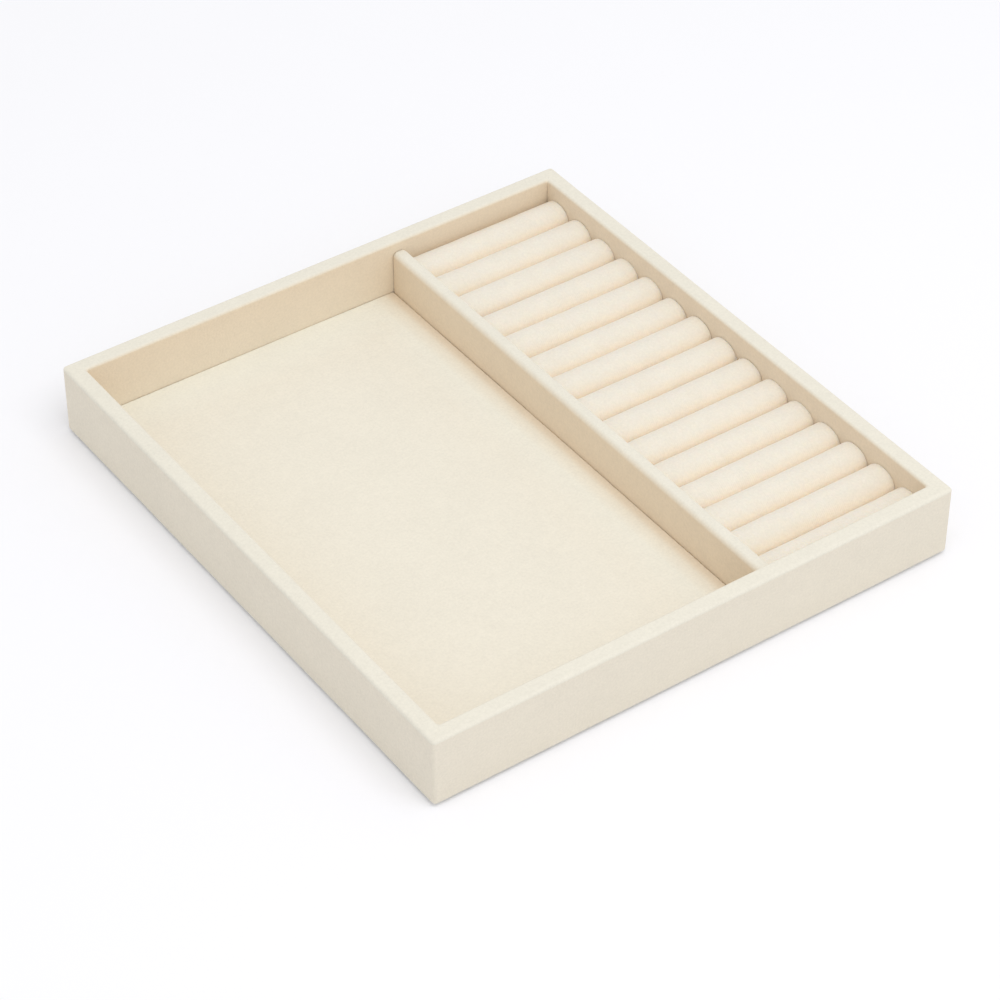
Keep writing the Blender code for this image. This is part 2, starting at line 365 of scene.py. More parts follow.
# Polyurethane foam, cut with a knife: off-white with open pores under a millimetre.
CUT_FOAM = Finish(
    "cut_polyurethane_foam", "#D9D3C0", "#F0EDE0",
    (Grain(0.0016, 0.5, 1.0), Grain(0.0007, 0.5, 3.0)), relief=0.00015, rough=(0.85, 1.0),
)
# Needled wool felt: a beige mat of short fibres with a slight bloom.
NEEDLED_FELT = Finish(
    "needled_wool_felt", "#AFA48E", "#CDC3AE",
    (Grain(0.0060, 0.3), Grain(0.0012, 0.7, 4.0)), relief=0.00020, rough=(0.90, 1.0),
    sheen=0.25,
)


# Mesh making


def smooth_share(share: np.ndarray | float) -> np.ndarray | float:
    """Ease a share from 0 to 1 in and out."""
    held = np.clip(share, 0.0, 1.0)
    return held * held * (3 - 2 * held)


def graded(length: float, marks: tuple[float, ...], step: float) -> np.ndarray:
    """Stops along a side, close together at both ends.

    Args:
        length: the side's length.
        marks: distances of the first stops from each end, the end itself left out.
        step: distance between the stops of the middle, at most.

    Returns:
        The stops from 0 to the length, both ends included.
    """
    count = max(1, math.ceil((length - 2 * marks[-1]) / step))
    middle = np.linspace(marks[-1], length - marks[-1], count + 1)[1:-1]
    near = np.array((0.0, *marks))
    return np.concatenate((near, middle, length - near[::-1]))


def grid_faces(rows: int, columns: int, closed: bool = False) -> list[tuple[int, ...]]:
    """Four-sided faces of a grid of points that is numbered row by row.

    Args:
        rows: the number of rows.
        columns: the number of points in a row.
        closed: whether a row's last point joins its first.

    Returns:
        Each face as four point numbers.
    """
    faces = []
    for row in range(rows - 1):
        for column in range(columns if closed else columns - 1):
            after = (column + 1) % columns
            faces.append(
                (row * columns + column, row * columns + after,
                 (row + 1) * columns + after, (row + 1) * columns + column)
            )
    return faces


def place_object(name: str, data: bpy.types.ID) -> Piece:
    """Put a new object into the scene, at the origin.

    Args:
        name: the object's name.
        data: its mesh, camera or lamp data.

    Returns:
        The object.
    """
    thing = bpy.data.objects.new(name, data)
    bpy.context.scene.collection.objects.link(thing)
    return thing


def new_piece(
    name: str, points: np.ndarray, faces: list[tuple[int, ...]], material: Material
) -> Piece:
    """Make a smooth mesh object at the origin.

    Args:
        name: the piece's name.
        points: its points, in metres.
        faces: its faces, as numbers of points.
        material: its finish.

    Returns:
        The new object, linked to the scene.
    """
    mesh = bpy.data.meshes.new(name)
    mesh.from_pydata([tuple(point) for point in points.reshape(-1, 3)], [], faces)
    mesh.materials.append(material)
    mesh.shade_smooth()
    mesh.update()
    return place_object(name, mesh)


def points_of(piece: Piece) -> np.ndarray:
    """Read the points of a piece's mesh.

    Args:
        piece: the piece.

    Returns:
        One row of X, Y and Z for each point.
    """
    flat = np.zeros(len(piece.data.vertices) * 3)
    piece.data.vertices.foreach_get("co", flat)
    return flat.reshape(-1, 3)


def move_points(piece: Piece, points: np.ndarray) -> None:
    """Put the points of a piece's mesh where they are given."""
    piece.data.vertices.foreach_set("co", points.astype(np.float32).ravel())
    piece.data.update()


def paint(piece: Piece, name: str, values: np.ndarray) -> None:
    """Store one number for each point of a piece."""
    layer = piece.data.attributes.new(name, "FLOAT", "POINT")
    layer.data.foreach_set("value", values.astype(np.float32).ravel())


def plain_mesh(piece: Piece) -> None:
    """Turn a piece's modifiers into its own mesh, and remove them.

    Args:
        piece: the piece, which keeps its name.
    """
    depsgraph = bpy.context.evaluated_depsgraph_get()
    mesh = bpy.data.meshes.new_from_object(piece.evaluated_get(depsgraph))
    mesh.name = piece.name
    piece.modifiers.clear()
    piece.data = mesh


def give_thickness(piece: Piece, thickness: float, even: bool = True) -> None:
    """Grow a surface inwards into cloth, as a plain mesh.

    Args:
        piece: the cloth, as a surface.
        thickness: how thick it becomes.
        even: whether it keeps that thickness round tight folds.
    """
    cloth = piece.modifiers.new("cloth", "SOLIDIFY")
    cloth.thickness = thickness
    cloth.offset = -1.0
    cloth.use_even_offset = even
    cloth.use_quality_normals = True
    plain_mesh(piece)


@dataclass(frozen=True)
class Ripple:
    """How uneven glued cloth lies.

    Attributes:
        height: how far it rises or sinks, at most.
        width: distance between neighbouring rises.
        seed: picks one pattern of many.
    """

    height: float
    width: float
    seed: float


def glue_down(suede: Piece, shade_shares: np.ndarray, ripple: Ripple) -> None:
    """Finish suede that is glued on a board, with its painted shade.

    Args:
        suede: the cloth, as an open surface.
        shade_shares: the share of painted shade at each of its points.
        ripple: how uneven it lies.
    """
    paint(suede, PAINTED_SHADE, shade_shares)
    suede.data.update()
    for vertex in suede.data.vertices:
        rise = noise.noise(vertex.co / ripple.width + Vector((ripple.seed, 0, 0)))
        vertex.co += vertex.normal * ripple.height * rise
    suede.data.update()
    give_thickness(suede, SUEDE_THICKNESS)


def quarter(radius: float, steps: int) -> list[tuple[float, float]]:
    """A quarter circle, from the outer side of its centre to straight above it.

    Args:
        radius: the circle's radius.
        steps: the number of steps.

    Returns:
        Points as (inwards from the centre, up from it). The first is a radius
        outwards and level with the centre.
    """
    turns = [math.pi / 2 * step / steps for step in range(steps + 1)]
    return [(-radius * math.cos(turn), radius * math.sin(turn)) for turn in turns]


def hand_over(piece: Piece, slot: Slot, *nodes: str) -> None:
    """Give a finished piece to the frame, in place of the CAD nodes it stands for.

    Args:
        piece: the finished piece.
        slot: the record's material slot that it stands for; not used.
        nodes: the CAD nodes that it replaces.
    """
    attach(piece, ROOT_BODY)
    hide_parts(*nodes)
    LOG.info("%s: %d faces for %s", piece.name, len(piece.data.polygons), nodes)


def dress_node(name: str, material: Material) -> None:
    """Give a CAD node that stays its finish.

    Args:
        name: the node's name.
        material: the finish.
    """
    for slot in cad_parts[name].material_slots:
        slot.material = material
    LOG.info("%s: kept, in %s", name, material.name)


# The assembly


@dataclass
class Shell:
    """Fibreboard box, the suede cloth glued round it, and the felt it stands on."""

    width: float = 0.2800
    depth: float = 0.3050
    height: float = 0.0380
    wall: float = 0.0083
    ripple: Ripple = Ripple(0.00012, 0.045, 3.7)
    foot: float = 0.0016
    seat: float = 0.0063
    turn_in: float = 0.0120
    turn_middle: float = 0.6
    bottom_radius: float = 0.0010
    rim_radius: float = 0.0015
    lip_radius: float = 0.0014
    corner_radius: float = 0.0018
    lip_corner: float = 0.0014
    crease_radius: float = 0.0005
    seam_depth: float = 0.0006
    mitre_depth: float = 0.00012
    # Painted shade: its share on the outer faces, and on the inner faces from the lip down to the
    # foot.
    outside_shade: float = 0.22
    lip_shade: float = 0.80
    foot_shade: float = 0.55
    outside_rows: int = 8
    rim_rows: int = 6
    inside_rows: int = 10
    arc_steps: int = 6
    corner_steps: int = 8
    side_marks: tuple[float, ...] = (0.0004, 0.0011, 0.0024, 0.0050)
    side_step: float = 0.0065
    felt_inset: float = 0.0030
    felt_thickness: float = 0.0014
    felt_corner: float = 0.0040
    felt_corner_steps: int = 8
    felt_edge: float = 0.0003
    felt_cuts: int = 40
    fray_width: float = 0.004
    fray_share: float = 0.0006

    def stops(self) -> list[Triple]:
        """The cloth's way across the wall, from under the base to the floor inside.

        Returns:
            Stops as (distance in from the outer face, height, share of painted
            shade).
        """
        low, rim, lip, gap = self.bottom_radius, self.rim_radius, self.lip_radius, self.side_marks[0]
        top, inner = self.height - rim, self.wall - lip
        way = [(inset, self.foot, 0.0)
               for inset in (self.turn_in, self.turn_in * self.turn_middle, low + gap)]
        way += [(low + back, self.foot + low - up, 0.0)
                for back, up in reversed(quarter(low, self.arc_steps))]
        way += [(0.0, height, self.outside_shade)
                for height in np.linspace(self.foot + low + gap, top - gap, self.outside_rows)]
        way += [(rim + back, top + up, 0.0) for back, up in quarter(rim, self.arc_steps)]
        way += [(inset, self.height, 0.0)
                for inset in np.linspace(rim + gap, inner - gap, self.rim_rows)]
        way += [(inner - back, self.height - lip + up, self.lip_shade * (1 - up / lip))
                for back, up in reversed(quarter(lip, self.arc_steps))]
        heights = np.linspace(self.height - lip - gap, self.seat, self.inside_rows)
        shade_shares = np.linspace(self.lip_shade, self.foot_shade, self.inside_rows)
        way += [(self.wall, height, share) for height, share in zip(heights, shade_shares)]
        return way

    def corner_of(self, inset: float, height: float) -> tuple[float, float]:
        """How a turn of the cloth goes round a corner.

        Args:
            inset: the turn's distance in from the outer face.
            height: the turn's height.

        Returns:
            The corner's radius, and how deep the seam in it is.
        """
        outside = max(self.corner_radius - inset, self.crease_radius)
        if inset < self.wall / 2:
            return outside, 0.0
        to_lip = smooth_share((inset - self.wall / 2) / (self.wall / 2))
        down = smooth_share((self.height - self.lip_radius - height) / (2 * self.lip_corner))
        radius = self.crease_radius + (self.lip_corner - self.crease_radius) * to_lip * (1 - down)
        return radius, self.seam_depth * down

    def turn_points(self, inset: float, height: float) -> np.ndarray:
        """One turn of the cloth round the tray, counter-clockwise from above.

        Args:
            inset: its distance in from the outer face.
            height: its height.

        Returns:
            Its points, as many for each turn.
        """
        half = np.array((self.width / 2 - inset, self.depth / 2 - inset))
        radius, seam = self.corner_of(inset, height)
        on_rim = 0 < inset < self.wall and height >= self.height - TINY
        signs = np.array(((1, -1), (1, 1), (-1, 1), (-1, -1)))
        turn: list[Triple] = []
        for number, sign in enumerate(signs):
            centre = sign * (half - radius)
            for step in range(self.corner_steps + 1):
                share = step / self.corner_steps
                angle = math.radians(90 * (number - 1) + 90 * share)
                bend = max(0.0, 1 - abs(2 * share - 1) * 2)
                reach = radius + seam * bend
                dent = self.mitre_depth * bend if on_rim else 0.0
                x, y = centre + np.array((math.cos(angle), math.sin(angle))) * reach
                turn.append((x, y, height - dent))
            after = signs[(number + 1) % 4] * (half - radius)
            outward = np.array((math.cos(angle), math.sin(angle))) * radius
            full = self.depth if number % 2 == 0 else self.width
            shares = graded(full, self.side_marks, self.side_step)[1:-1] / full
            for share in shares:
                x, y = centre + (after - centre) * share + outward
                turn.append((x, y, height))
        return np.array(turn)

    def build_wrap(self, suede: Material) -> Piece:
        """One strip of cloth: turned in below, up outside, over the rim, down inside.

        Args:
            suede: the cloth's finish.

        Returns:
            The wrap, with its thickness.
        """
        stops = self.stops()
        turns = np.array([self.turn_points(inset, height) for inset, height, _ in stops])
        faces = grid_faces(len(stops), turns.shape[1], closed=True)
        wrap = new_piece("outer_suede_wrap", turns, faces, suede)
        shade_shares = np.repeat([share for _, _, share in stops], turns.shape[1])
        glue_down(wrap, shade_shares, self.ripple)
        return wrap

    def build_felt(self, felt: Material) -> Piece:
        """Die-cut felt pad with round corners, its edge slightly ragged.

        Args:
            felt: the pad's finish.

        Returns:
            The pad.
        """
        form = bmesh.new()
        size = Vector((self.width, self.depth)) - Vector((2, 2)) * self.felt_inset
        bmesh.ops.create_cube(form, size=1)
        bmesh.ops.scale(form, vec=(*size, self.felt_thickness), verts=form.verts)
        bmesh.ops.translate(form, vec=(0, 0, self.felt_thickness / 2), verts=form.verts)
        upright = [edge for edge in form.edges
                   if abs(edge.verts[0].co.z - edge.verts[1].co.z) > TINY]
        bmesh.ops.bevel(form, geom=upright, offset=self.felt_corner,
                        segments=self.felt_corner_steps, profile=0.5, affect="EDGES")
        level = [edge for edge in form.edges if edge.calc_face_angle() > math.radians(60)]
        bmesh.ops.bevel(form, geom=level, offset=self.felt_edge, segments=2, profile=0.5,
                        affect="EDGES")
        long = [edge for edge in form.edges if edge.calc_length() > self.side_step]
        bmesh.ops.subdivide_edges(form, edges=long, cuts=self.felt_cuts, use_grid_fill=True)
        bmesh.ops.recalc_face_normals(form, faces=form.faces)
        form.verts.index_update()
        points = np.array([vertex.co for vertex in form.verts])
        rounds = [[vertex.index for vertex in face.verts] for face in form.faces]
        form.free()
        # A bevel makes its faces in another order each run, so they are sorted.
        starts = [corners.index(min(corners)) for corners in rounds]
        faces = sorted((*corners[at:], *corners[:at]) for corners, at in zip(rounds, starts))
        for point in points:
            point[:2] *= 1 + self.fray_share * noise.noise(Vector(point) / self.fray_width)
        pad = new_piece("underside_felt_pad", points, faces, felt)
        pad.data.shade_flat()
        return pad

    def build(self, suede: Material) -> None:
        """Build the shell's pieces and dress its boards.

        Args:
            suede: the finish that the wrap shares with the other covers.
        """
        wrap = self.build_wrap(suede)
        hand_over(wrap, Slot.SUEDE, "outer_wrap")
        boards = ("front_wall_board", "back_wall_board", "left_wall_board",
                  "right_wall_board", "base_board")
        pad = self.build_felt(NEEDLED_FELT.material())
        hand_over(pad, Slot.FELT, "underside_felt")
        fibreboard = FIBREBOARD.material()
        for board in boards:
            dress_node(board, fibreboard)


@dataclass
class CoveredSlab:
    """A flat form with rounded top edges, on a grid that is finer at its sides."""

    low: Triple
    high: Triple
    radius: float
    marks: tuple[float, ...] = (0.00008, 0.00026, 0.0005, 0.0008, 0.0010, 0.0016, 0.0030, 0.0060)
    step: float = 0.0070

    def grid(self) -> np.ndarray:
        """Points of the top, whose outermost ones are where the sides begin.

        Returns:
            The points as rows along X of columns along Y.
        """
        spans = [self.high[axis] - self.low[axis] for axis in (0, 1)]
        ways = np.meshgrid(*(graded(span, self.marks, self.step) for span in spans), indexing="ij")
        held = [np.clip(way, self.radius, span - self.radius) for way, span in zip(ways, spans)]
        out = np.array(ways) - held
        reach = np.abs(out).max(axis=0)
        out *= reach / np.maximum(np.linalg.norm(out, axis=0), TINY)
        drop = self.radius - np.sqrt(np.maximum(0.0, self.radius ** 2 - reach ** 2))
        x, y = (self.low[axis] + held[axis] + out[axis] for axis in (0, 1))
        return np.stack((x, y, self.high[2] - drop), axis=-1)

    def build(self, name: str, material: Material, with_underside: bool) -> Piece:
        """Build the slab.

        Args:
            name: the piece's name.
            material: its finish.
            with_underside: whether it is closed below.

        Returns:
            The slab, with no thickness of its own where it is open.
        """
        top = self.grid()
        rows, columns = top.shape[:2]
        edge = [(row, 0) for row in range(rows)]
        edge += [(rows - 1, column) for column in range(1, columns)]
        edge += [(row, columns - 1) for row in range(rows - 2, -1, -1)]
        edge += [(0, column) for column in range(columns - 2, 0, -1)]
        number = {place: place[0] * columns + place[1] for place in edge}
        skirt = np.array([(*top[place][:2], self.low[2]) for place in edge])
        points = np.concatenate((top.reshape(-1, 3), skirt))
        faces = [tuple(reversed(face)) for face in grid_faces(rows, columns)]
        first = rows * columns
        for at, place in enumerate(edge):
            after = (at + 1) % len(edge)
            faces.append((first + at, first + after, number[edge[after]], number[place]))
        if with_underside:
            faces.append(tuple(first + at for at in reversed(range(len(edge)))))
        return new_piece(name, points, faces, material)


@dataclass
class MainFloor:
    """Greyboard in the open compartment, with suede turned down round its edges."""

    low: Triple = (-0.13166, -0.14416, 0.0063)
    high: Triple = (0.03878, 0.14416, 0.0093)
    ripple: Ripple = Ripple(0.00016, 0.060, 11.3)
    radius: float = 0.0008
    # Painted shade on the lining: a low share over the floor, none near the back wall and a little
    # out from the divider, and a high share right beside the divider.
    level_shade: float = 0.27
    level_margin: float = 0.0040
    level_band: float = 0.0280
    divider_shade: float = 0.78
    divider_margin: float = 0.0020
    divider_band: float = 0.0072

    def shade_shares(self, points: np.ndarray) -> np.ndarray:
        """The share of painted shade at each point of the lining.

        It is highest right beside the divider, a painted shade where the divider's
        shade falls. A little further out and near the back wall it falls off to none,
        so the lining is painted paler there against the shade of the divider and the wall.

        Args:
            points: the lining's points.

        Returns:
            A share for each point.
        """
        from_divider, from_back = self.high[0] - points[:, 0], self.high[1] - points[:, 1]
        near = np.minimum(from_divider, from_back)
        level = self.level_shade * smooth_share((near - self.level_margin) / self.level_band)
        beside_divider = 1 - smooth_share((from_divider - self.divider_margin) / self.divider_band)
        return level + (self.divider_shade - level) * beside_divider

    def build(self) -> None:
        """Build the lining and dress the card."""
        # Painted light: the lining is a paler copy of the cloth round it, which makes up for the
        # shade that the walls cast on it.
        suede = Microsuede("cream_microsuede_painted_light", colour="#F0EEE2").material()
        lining = CoveredSlab(self.low, self.high, self.radius).build(
            "compartment_floor_lining", suede, with_underside=False
        )
        glue_down(lining, self.shade_shares(points_of(lining)), self.ripple)
        hand_over(lining, Slot.SUEDE, "floor_lining")
        dress_node("floor_card", GREYBOARD.material())


@dataclass
class Divider:
    """Low fibreboard rail with a strip of suede folded over it."""

    left: float = 0.0389
    right: float = 0.0456
    half_length: float = 0.1439
    seat: float = 0.0063
    top: float = 0.0325
    ripple: Ripple = Ripple(0.00012, 0.040, 5.1)
    open_radius: float = 0.0025
    roll_radius: float = 0.0012
    # Painted shade on the side that faces the open compartment.
    open_shade: float = 0.86
    end_draw: float = 0.0003
    end_reach: float = 0.0018
    foot_gap: float = 0.0010
    shoulder_gap: float = 0.0004
    side_rows: int = 6
    arc_steps: int = 8
    marks: tuple[float, ...] = (0.0003, 0.0008, 0.0018, 0.0040)
    step: float = 0.0065

    def side(self, radius: float, shade_share: float) -> list[Triple]:
        """The strip's way up one side of the rail and over its shoulder.

        Args:
            radius: how round the shoulder is.
            shade_share: share of painted shade on the side.

        Returns:
            Stops as (distance in from the side, height, share of painted shade).
        """
        shoulder = self.top - radius
        heights = np.linspace(self.seat + self.foot_gap, shoulder - self.shoulder_gap,
                              self.side_rows)
        way = [(0.0, height, shade_share) for height in (self.seat, *heights)]
        return way + [(radius + back, shoulder + rise, shade_share * (1 - rise / radius))
                      for back, rise in quarter(radius, self.arc_steps)]

    def profile(self) -> list[Triple]:
        """The strip's way over the rail, from the open compartment to the rolls.

        Returns:
            Stops as (X, height, share of painted shade).
        """
        open_side = self.side(self.open_radius, self.open_shade)
        roll_side = self.side(self.roll_radius, 0.0)
        return ([(self.left + inset, z, share) for inset, z, share in open_side]
                + [(self.right - inset, z, share) for inset, z, share in reversed(roll_side)])

    def build(self, suede: Material) -> None:
        """Build the strip and dress the rail.

        Args:
            suede: the finish that the strip shares with the other covers.
        """
        length = 2 * self.half_length
        profile = np.array(self.profile())
        stations = graded(length, self.marks, self.step) - self.half_length
        x, z, shade_shares = (np.repeat(part[:, None], len(stations), axis=1) for part in profile.T)
        # The strip is drawn in a little where its ends are tucked against the walls.
        near = np.maximum(0.0, 1 - (self.half_length - np.abs(stations)) / self.end_reach)
        draw = self.end_draw * near ** 2 * np.ones(x.shape)
        inward = np.copysign(draw, x - (self.left + self.right) / 2)
        sunk = draw * (z - self.seat) / (self.top - self.seat)
        points = np.stack((x - inward, stations * np.ones(x.shape), z - sunk), axis=-1)
        faces = [tuple(reversed(face)) for face in grid_faces(*x.shape)]
        strip = new_piece("divider_suede_strip", points, faces, suede)
        glue_down(strip, shade_shares, self.ripple)
        hand_over(strip, Slot.SUEDE, "divider_wrap")
        dress_node("divider_board", FIBREBOARD.material())


class RollForm:
    """Geometry Nodes tree of one ring roll: a rod with rounded shoulders at its ends."""

    # The tree's inputs with their first values. A whole number counts steps.
    INPUTS = {
        "Length": 0.085,
        "Half Width": 0.009,
        "Height Share": 1.0,
        "Squareness": 2.0,
        "Left Shoulder": 0.002,
        "Right Shoulder": 0.002,
        "Crest Drop": 0.003,
        "Side Drop": 0.001,
        "Lumps": 0.0002,
        "Lump Width": 0.016,
        "Seed": 0.0,
        "Around": 40,
        "Along": 56,
        "Cap Rings": 3,
    }
    # The arithmetic, one node to a line: the result's name, the operation, and its
    # parts, which are numbers, inputs, places on the rod or earlier results.
    STEPS = (
        # A sine along the rod sets its rings close together at the shoulders.
        ("turn", "MULTIPLY", "along", math.pi),
        ("place", "SINE", "turn"),
        ("half", "MULTIPLY", "Length", 0.5),
        ("x", "MULTIPLY", "place", "half"),
        ("on right", "GREATER_THAN", "x", 0.0),
        ("wider", "SUBTRACT", "Right Shoulder", "Left Shoulder"),
        ("shoulder", "MULTIPLY_ADD", "on right", "wider", "Left Shoulder"),
        ("inside", "SUBTRACT", "half", "shoulder"),
        ("distance", "ABSOLUTE", "x"),
        ("past", "SUBTRACT", "distance", "inside"),
        ("ratio", "DIVIDE", "past", "shoulder"),
        ("share", "MAXIMUM", "ratio", 0.0),
        ("squared", "MULTIPLY", "share", "share"),
        ("rest", "SUBTRACT", 1.0, "squared"),
        ("held", "MAXIMUM", "rest", 0.0),
        ("arc", "SQRT", "held"),
        ("fallen", "SUBTRACT", 1.0, "arc"),
        # Foam that is pressed between its neighbours is fuller than a circle.
        ("wide", "ABSOLUTE", "across"),
        ("wide power", "POWER", "wide", "Squareness"),
        ("high", "ABSOLUTE", "up"),
        ("high power", "POWER", "high", "Squareness"),
        ("powers", "ADD", "wide power", "high power"),
        # The caps' own middles would otherwise divide by nothing.
        ("some", "MAXIMUM", "powers", TINY),
        ("inverse", "DIVIDE", -1.0, "Squareness"),
        ("root", "POWER", "some", "inverse"),
        ("sideways", "MULTIPLY", "across", "root"),
        ("upwards", "MULTIPLY", "up", "root"),
        ("inward", "MULTIPLY", "fallen", "Side Drop"),
        ("width", "SUBTRACT", "Half Width", "inward"),
        ("y", "MULTIPLY", "sideways", "width"),
        ("tall", "MULTIPLY", "Half Width", "Height Share"),
        ("down", "MULTIPLY", "fallen", "Crest Drop"),
        ("height", "SUBTRACT", "tall", "down"),
        ("z", "MULTIPLY", "upwards", "height"),
        ("rise", "SUBTRACT", "speck", 0.5),
        ("lump", "MULTIPLY", "rise", "Lumps"),
    )

    def __init__(self) -> None:
        """Build the tree once, for all the rolls."""
        self.tree = bpy.data.node_groups.new("ring_roll_form", "GeometryNodeTree")
        face = self.tree.interface
        face.new_socket("Geometry", in_out="OUTPUT", socket_type="NodeSocketGeometry")
        for name, value in self.INPUTS.items():
            kind = "NodeSocketInt" if isinstance(value, int) else "NodeSocketFloat"
            socket = face.new_socket(name, in_out="INPUT", socket_type=kind)
            socket.default_value = value
        face.new_socket("Centre", in_out="INPUT", socket_type="NodeSocketVector")
        face.new_socket("Material", in_out="INPUT", socket_type="NodeSocketMaterial")
        self.join()

    def join(self) -> None:
        """Link the nodes: a unit rod, its places along and across, lumps, finish."""
        tree = self.tree
        given = add_node(tree, "NodeGroupInput").outputs
        rod = {"fill_type": "TRIANGLE_FAN", "Radius": 1.0, "Depth": 1.0}
        rod |= {"Vertices": given["Around"], "Side Segments": given["Along"]}
        rod |= {"Fill Segments": given["Cap Rings"]}
        shape = add_node(tree, "GeometryNodeMeshCylinder", rod).outputs["Mesh"]
        scale = {"operation": "DIVIDE", 0: 1.0, 1: given["Lump Width"]}
        specks = {"noise_dimensions": "4D", "Detail": 1.0, "W": given["Seed"]}
        specks["Scale"] = add_node(tree, "ShaderNodeMath", scale).outputs[0]
        at = add_node(tree, "GeometryNodeInputPosition").outputs[0]
        apart = add_node(tree, "ShaderNodeSeparateXYZ", {0: at}).outputs
        found = {name: given[name] for name in self.INPUTS}
        found |= dict(zip(("across", "up", "along"), apart))
        found["speck"] = add_node(tree, "ShaderNodeTexNoise", specks).outputs["Fac"]
        for name, operation, *parts in self.STEPS:
            inputs = {number: found.get(part, part) for number, part in enumerate(parts)}
            step = {"operation": operation, **inputs}
            found[name] = add_node(tree, "ShaderNodeMath", step).outputs[0]
        point = {number: found[axis] for number, axis in enumerate("xyz")}
        point = add_node(tree, "ShaderNodeCombineXYZ", point).outputs[0]
        placed = {"operation": "ADD", 0: point, 1: given["Centre"]}
        normal = add_node(tree, "GeometryNodeInputNormal").outputs[0]
        lump = {"operation": "SCALE", 0: normal, "Scale": found["lump"]}
        for kind, more in (
            ("SetPosition", {"Position": add_node(tree, "ShaderNodeVectorMath", placed).outputs[0]}),
            ("SetPosition", {"Offset": add_node(tree, "ShaderNodeVectorMath", lump).outputs[0]}),
            ("SetShadeSmooth", {}),
            ("RealizeInstances", {}),
            ("SetMaterial", {"Material": given["Material"]}),
        ):
            shape = add_node(tree, f"GeometryNode{kind}", {0: shape, **more}).outputs[0]
        add_node(tree, "NodeGroupOutput", {0: shape})

    def make(self, name: str, sizes: dict[str, object]) -> Piece:
        """Make one roll with the tree, as a plain mesh.

        Args:
            name: the piece's name.
            sizes: values by the names of the tree's inputs.

        Returns:
            The roll.
        """
        piece = place_object(name, bpy.data.meshes.new(name))
        form = piece.modifiers.new("form", "NODES")
        form.node_group = self.tree
        for item in self.tree.interface.items_tree:
            if item.name in sizes:
                form[item.identifier] = sizes[item.name]
        plain_mesh(piece)
        return piece


# Cloth settings of velvet on foam: it gives a little in its plane and bends easily.
JERSEY = {
    "vertex_group_mass": "glued",
    "use_pressure": True,
    "quality": 4,
    "tension_stiffness": 20,
    "compression_stiffness": 10,
    "shear_stiffness": 5,
    "bending_stiffness": 2,
    "mass": 0.3,
}


